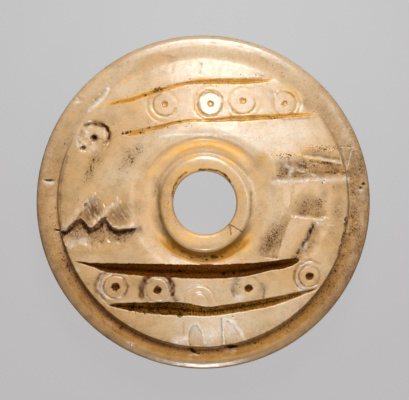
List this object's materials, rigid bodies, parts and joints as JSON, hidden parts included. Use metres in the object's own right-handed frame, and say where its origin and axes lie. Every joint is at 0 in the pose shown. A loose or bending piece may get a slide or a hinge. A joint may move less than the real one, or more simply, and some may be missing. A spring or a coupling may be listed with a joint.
{
  "type": "carved spindle whorl",
  "caption": "Round domed spindle whorl of pale bone with a collared central bore, carved with grooved bands of ring-and-dots, toothed cuts and a stepped rim.",
  "frame": {"origin": "middle of the flat underside, on the surface that the whorl lies on", "axes": "+Z out of the carved face, along the bore; +Y towards the upper band of ring-and-dots; +X to the right seen from above"},
  "size_m": [0.042, 0.042, 0.0091],
  "materials": {
    "polished_bone": "cream, polished by handling, with brown dirt in the cuts"
  },
  "bodies": {
    "root": {"spindle_whorl": "polished_bone"}
  },
  "joints": []
}
